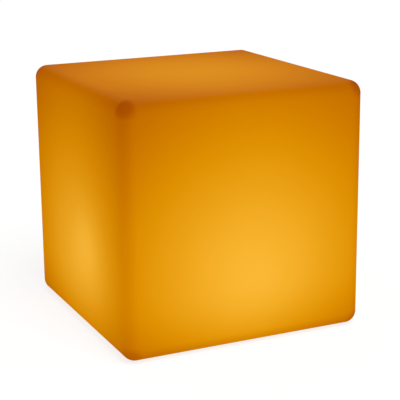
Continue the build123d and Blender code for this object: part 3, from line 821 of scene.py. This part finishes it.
def frosted_dome():
    r = recipe_for("frosted_dome")
    x, y, z = r.xyz()
    dome_low, dome_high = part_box("diffuser_dome")
    lit = z.step(dome_low.z, dome_high.z)
    frost = r.noise(scale=1800.0, detail=2.0)
    return r.surface({
        "Base Color": r.mix(lit, (0.72, 0.69, 0.64), (0.70, 0.66, 0.58)),
        "Roughness": 0.42 + frost * 0.16,
        "Emission Color": r.mix(lit, (0.50, 0.28, 0.06), (1.0, 0.66, 0.22)),
        "Emission Strength": lamp_glow,
        "Normal": r.bump(frost, distance=0.03 * MM, strength=0.5),
    })


def clear_rod():
    r = recipe_for("clear_plastic")
    scuff = r.noise(scale=700.0, detail=3.0).step(0.45, 0.75)
    return r.surface({
        "Base Color": r.mix(scuff, (0.93, 0.94, 0.95), (0.85, 0.86, 0.87)),
        "Roughness": 0.06 + scuff * 0.20,
        "IOR": 1.58,
        "Transmission Weight": 0.85,
    })


# %% Cell sleeve
def cell_sleeve():
    r = recipe_for("cell_wrap")
    crease = r.noise(scale=120.0, detail=3.0, stretch=(0.2, 1, 1))
    return r.surface({
        "Base Color": r.mix(crease.step(0.3, 0.7), (0.05, 0.20, 0.42), (0.10, 0.30, 0.55)),
        "Roughness": 0.22 + crease * 0.12,
        "Normal": r.bump(crease, distance=0.15 * MM, strength=0.5),
    })


# %% [markdown]
# ## Giving every CAD node its finish
# The record names a material slot for each node, so a table from slot to finish dresses them all. A row for a
# moulding, a soft part or a metal gives its colour, a second tone for its patches and its roughness, and then
# the grain or, for a metal, the way its scratches run.

# %% Finishes by slot
moulded_tones = {
    "button_plastic": ((0.030, 0.030, 0.033), (0.020, 0.020, 0.022), 0.42),
    "socket_plastic": ((0.040, 0.040, 0.040), (0.028, 0.028, 0.028), 0.50),
    "chip_black": ((0.030, 0.030, 0.030), (0.022, 0.022, 0.022), 0.60, 2500.0),
    "lead_red": ((0.60, 0.04, 0.03), (0.48, 0.03, 0.02), 0.34, 900.0),
    "lead_black": ((0.030, 0.030, 0.030), (0.020, 0.020, 0.020), 0.34, 900.0),
    "lead_white": ((0.82, 0.82, 0.80), (0.72, 0.71, 0.69), 0.34, 900.0),
}
soft_tones = {
    "silicone": ((0.50, 0.50, 0.49), (0.62, 0.61, 0.59), 0.55, 500.0),
    "plug_silicone": ((0.040, 0.040, 0.043), (0.085, 0.083, 0.080), 0.62, 900.0),
}
metal_tones = {
    "stainless_steel": ((0.46, 0.46, 0.45), (0.36, 0.35, 0.34), 0.30, (1, 6, 1)),
    "brass": ((0.76, 0.60, 0.28), (0.55, 0.40, 0.17), 0.34, (1, 1, 6)),
    "nickel": ((0.72, 0.71, 0.68), (0.60, 0.58, 0.53), 0.22, (6, 1, 1)),
}
finishes = {
    "shell_plastic": shell_material,
    "base_plastic": plate_plastic(),
    "foot_rubber": foot_rubber(),
    "circuit_board": circuit_board(),
    "board_aluminium": led_board_white(),
    "lamp_white": lamp_resin(),
    "frosted_dome": frosted_dome(),
    "clear_plastic": clear_rod(),
    "cell_wrap": cell_sleeve(),
}
for make, tones in ((moulded, moulded_tones), (soft, soft_tones), (metal, metal_tones)):
    for slot, values in tones.items():
        finishes[slot] = make(slot, *values)
slot_of = {subpart["node"]: subpart["material_slot"] for subpart in frame["record"]["subparts"]}
for name, node in nodes.items():
    for material_slot in node.material_slots:
        material_slot.material = finishes[slot_of[name]]
print("nodes dressed:", len(slot_of), "finishes:", len(finishes))

# %% [markdown]
# ## Screws of the lamp plate
# The CAD screws are plain stand-ins. The real ones are stainless pan heads with a six-lobed recess, which a
# driver can't slip out of. One is turned ring by ring, crown first and then the thread, and its recess is
# cut with a round core and six small lobes. The other five are copies.


# %% One screw
def six_lobes(place, low, high):
    """The cutters of the drive: a round core, and six lobes around it."""
    core_radius = 1.40 * MM
    lobe_radius = 0.42 * MM
    lobe_circle = 1.46 * MM
    core_outline = [(core_radius, low), (core_radius, high)]
    lobe_outline = [(lobe_radius, low), (lobe_radius, high)]
    core = turned("recess_middle", core_outline, sides=36, place=place)
    lobe_places = [(place[0] + x, place[1] + y) for x, y in around(6, lobe_circle)]
    lobes = join([turned("lobe", lobe_outline, sides=16, place=spot) for spot in lobe_places])
    return core, lobes


def flange_screw(place):
    face = screws_low.z
    seat = face + 2.4 * MM
    crown = 1.6 * MM
    chamfer = 0.15 * MM
    crest = 2.0 * MM
    root = 1.62 * MM
    pitch = 0.7 * MM
    tip = 0.8 * MM
    tip_slope = 0.3 * MM
    drive_depth = 1.5 * MM
    outline = [
        *arc((head_radius - crown, face + crown), crown, start=270, end=360, steps=8),
        (head_radius, seat - chamfer),
        (head_radius - chamfer, seat),
        (crest, seat),
        (crest, seat + pitch),
    ]
    turn_count = int((screws_high.z - seat) / pitch) - 2
    for turn in range(turn_count):
        level = seat + (turn + 1) * pitch
        for radius, share in ((root, 0.3), (root, 0.5), (crest, 0.85), (crest, 1)):
            outline.append((radius, level + share * pitch))
    outline += [(root, screws_high.z - tip_slope), (tip, screws_high.z)]
    screw = turned("flange_screw_set", outline, sides=32, place=place)
    for cutter in six_lobes(place, face - 0.5 * MM, face + drive_depth):
        screw = boolean(screw, cutter)
    return screw


# %% All six
first_screw = flange_screw(screw_places[0])
copies = [
    copied(first_screw, "flange_screw_copy", (x - screw_places[0][0], y - screw_places[0][1], 0))
    for x, y in screw_places[1:]
]
flange_screw_set = join([first_screw, *copies])
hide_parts("flange_screws")
finish_piece(flange_screw_set, finishes["stainless_steel"], "housing")

# %% [markdown]
# ## Mark on the button
# Such a button carries the plain stand-by sign, moulded proud in its dish so that a finger finds it: an open
# ring with a bar through the gap. The ring is a torus with a wedge of its faces removed and the two ends
# closed.


# %% Selecting faces by place
def choose_faces(piece, chosen):
    """Goes into edit mode with the faces selected whose middle passes a test."""
    activate(piece)
    bpy.ops.object.mode_set(mode="EDIT")
    bpy.ops.mesh.select_mode(type="FACE")
    bpy.ops.mesh.select_all(action="DESELECT")
    bpy.ops.object.mode_set(mode="OBJECT")
    for face in piece.data.polygons:
        face.select = chosen(face.center)
    bpy.ops.object.mode_set(mode="EDIT")


# %% Open ring and bar
def button_mark():
    button_low, button_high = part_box("power_button")
    x, y = ((button_low + button_high) / 2).xy
    level = button_low.z + 0.66 * MM
    ring_radius = 3.3 * MM
    half_thick = 0.40 * MM
    half_gap = radians(37.5)
    bar_size = (2 * half_thick, 3.2 * MM, 2 * half_thick)
    bar_middle = (x, y + 2.8 * MM, level)
    bar_round = 0.9 * half_thick
    bpy.ops.object.select_all(action="DESELECT")
    bpy.ops.mesh.primitive_torus_add(
        major_radius=ring_radius,
        minor_radius=half_thick,
        major_segments=48,
        minor_segments=12,
        location=(x, y, level),
    )
    ring = settle(added("button_mark"))
    choose_faces(ring, lambda middle: abs(atan2(middle.x - x, middle.y - y)) < half_gap)
    bpy.ops.mesh.delete(type="FACE")
    bpy.ops.mesh.select_all(action="SELECT")
    bpy.ops.mesh.fill_holes(sides=16)
    bpy.ops.object.mode_set(mode="OBJECT")
    bar = rounded_block("bar", bar_size, bar_middle, bar_round, segments=4)
    return join([ring, bar])


mark_grey = moulded("mark_grey", (0.62, 0.62, 0.61), (0.54, 0.54, 0.53), roughness=0.48)
finish_piece(button_mark(), mark_grey, "power_button")

# %% [markdown]
# ## Strap and grip of the socket's plug
# The silicone plug hangs on a strap that bends where it is ribbed. The CAD model splits the strap at that
# bend. Here a ribbed sleeve closes the split: a rectangle across the strap is extruded along it and made
# narrower and wider by turns. Three small ridges on the pull tab give a fingernail its hold.

# %% Where the strap bends
plug_low, plug_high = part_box("jack_plug")
strap_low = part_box("plug_anchor")[0].z
strap_middle = strap_low + 0.6 * MM
bend_x = plug_high.x + 0.2 * MM
print("strap bends at x", round(bend_x, 4))


# %% Ribbed bend
def strap_bend():
    half_length = 1.9 * MM
    rib_count = 6
    parts_a_rib = 4
    width = 5.24 * MM
    height = 1.44 * MM
    squeeze = 0.88
    width_share = 0.3
    x = bend_x - half_length
    middle = (x, control_row, strap_middle)
    bpy.ops.object.select_all(action="DESELECT")
    bpy.ops.mesh.primitive_plane_add(size=height, location=middle, rotation=(0, pi / 2, 0))
    strap = settle(added("strap_bend"))
    bpy.ops.object.mode_set(mode="EDIT")
    bpy.ops.mesh.select_all(action="SELECT")
    bpy.ops.transform.resize(value=(1, width / height, 1), center_override=middle)
    step = 2 * half_length / (parts_a_rib * rib_count)
    for part in range(parts_a_rib * rib_count):
        x += step
        bpy.ops.mesh.extrude_region_move(TRANSFORM_OT_translate={"value": (step, 0, 0)})
        grow = {1: 1 / squeeze, 3: squeeze}.get(part % parts_a_rib, 1)
        if grow != 1:
            middle = (x, control_row, strap_middle)
            bpy.ops.transform.resize(value=(1, grow ** width_share, grow), center_override=middle)
    bpy.ops.mesh.select_all(action="SELECT")
    bpy.ops.mesh.normals_make_consistent(inside=False)
    bpy.ops.object.mode_set(mode="OBJECT")
    apply_modifier(strap, "BEVEL", width=0.06 * MM, segments=2, limit_method="ANGLE")
    return strap


strap = finish_piece(strap_bend(), finishes["plug_silicone"])
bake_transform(strap)


# %% Grip ridges
def grip_ridges():
    ridge_size = (0.6 * MM, 4.0 * MM, 0.7 * MM)
    ridge_round = 0.28 * MM
    ridge_step = 0.95 * MM
    first_place = (plug_low.x + 0.7 * MM, control_row, strap_low)
    first = rounded_block("plug_ridges", ridge_size, first_place, ridge_round, segments=4)
    more = [copied(first, "ridge", (count * ridge_step, 0, 0)) for count in (1, 2)]
    return join([first, *more])


finish_piece(grip_ridges(), finishes["plug_silicone"], "jack_plug")
